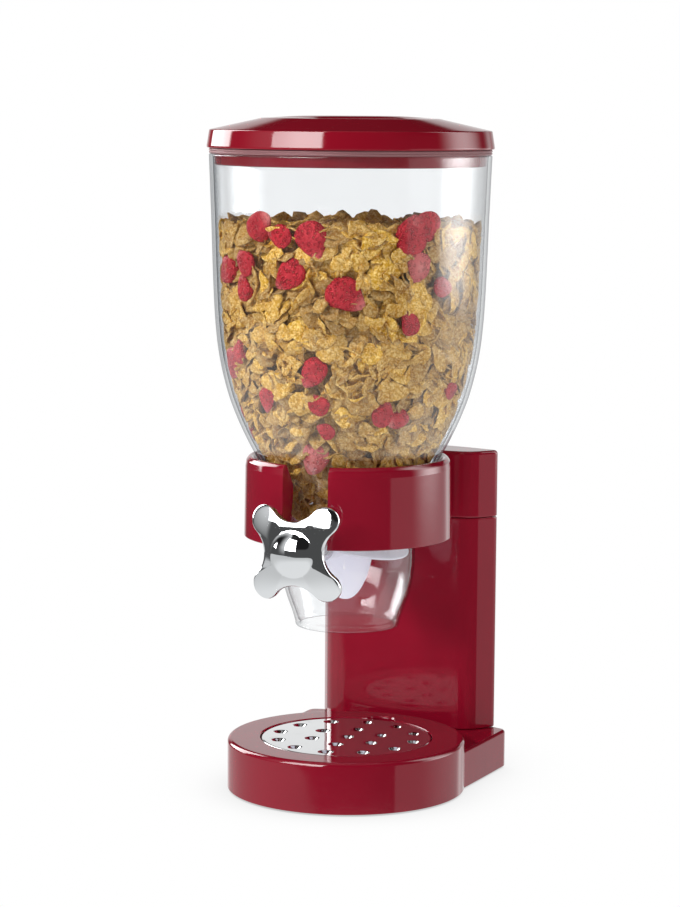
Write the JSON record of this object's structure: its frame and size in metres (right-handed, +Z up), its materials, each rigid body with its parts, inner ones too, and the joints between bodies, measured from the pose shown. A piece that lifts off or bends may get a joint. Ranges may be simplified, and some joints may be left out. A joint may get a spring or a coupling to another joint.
{
  "type": "cereal dispenser",
  "caption": "Countertop dry-food dispenser: clear canister in a red stand, front knob turning a soft paddle wheel above a clear chute and a lift-out drip tray.",
  "frame": {"origin": "on the canister's vertical axis, at the underside of the base plate", "axes": "+Z up along the canister axis, -Y to the front (knob side), +X to the user's right as seen from the front"},
  "size_m": [0.1664, 0.1876, 0.3965],
  "materials": {
    "red_gloss": "high gloss crimson moulding",
    "red_satin": "satin crimson moulding, inner faces",
    "clear_plastic": "clear polished polymer",
    "seal_silicone": "translucent grey silicone",
    "paddle_silicone": "translucent white silicone, satin",
    "light_plastic": "light grey acetal, satin",
    "knob_chrome": "bright chrome plating",
    "tray_chrome": "polished steel sheet",
    "screw_steel": "zinc plated",
    "foot_rubber": "black rubber"
  },
  "bodies": {
    "stand": {"base_shell": "red_gloss", "base_plate": "red_satin", "foot_front_left": "foot_rubber", "foot_front_right": "foot_rubber", "foot_rear_left": "foot_rubber", "foot_rear_right": "foot_rubber", "plate_screw_front_left": "screw_steel", "plate_screw_front_right": "screw_steel", "plate_screw_rear_left": "screw_steel", "plate_screw_rear_right": "screw_steel", "column_screw_left": "screw_steel", "column_screw_right": "screw_steel", "column_housing": "red_gloss", "head_housing": "red_gloss", "head_screw_left": "screw_steel", "head_screw_right": "screw_steel"},
    "canister": {"canister": "clear_plastic", "front_bushing": "light_plastic", "rear_bushing": "light_plastic"},
    "lid": {"lid_cover": "red_gloss", "lid_liner": "red_satin", "lid_seal": "seal_silicone"},
    "wheel": {"paddle_wheel": "paddle_silicone", "wheel_core": "light_plastic"},
    "knob": {"knob_shell": "knob_chrome", "knob_insert": "light_plastic", "knob_screw": "screw_steel", "drive_shaft": "screw_steel"},
    "tray": {"drip_tray": "tray_chrome"}
  },
  "joints": [
    {"name": "canister_lift", "type": "slide", "parent": "stand", "child": "canister", "axis": [0, 0, 1], "range_m": [0, 0.12]},
    {"name": "lid_lift", "type": "slide", "parent": "canister", "child": "lid", "axis": [0, 0, 1], "range_m": [0, 0.08]},
    {"name": "wheel_turn", "type": "hinge", "parent": "canister", "child": "wheel", "pos_m": [0, 0, 0.15], "axis": [0, -1, 0], "continuous": true},
    {"name": "knob_pull", "type": "slide", "parent": "wheel", "child": "knob", "axis": [0, -1, 0], "range_m": [0, 0.12]},
    {"name": "tray_lift", "type": "slide", "parent": "stand", "child": "tray", "axis": [0, 0, 1], "range_m": [0, 0.05]}
  ]
}
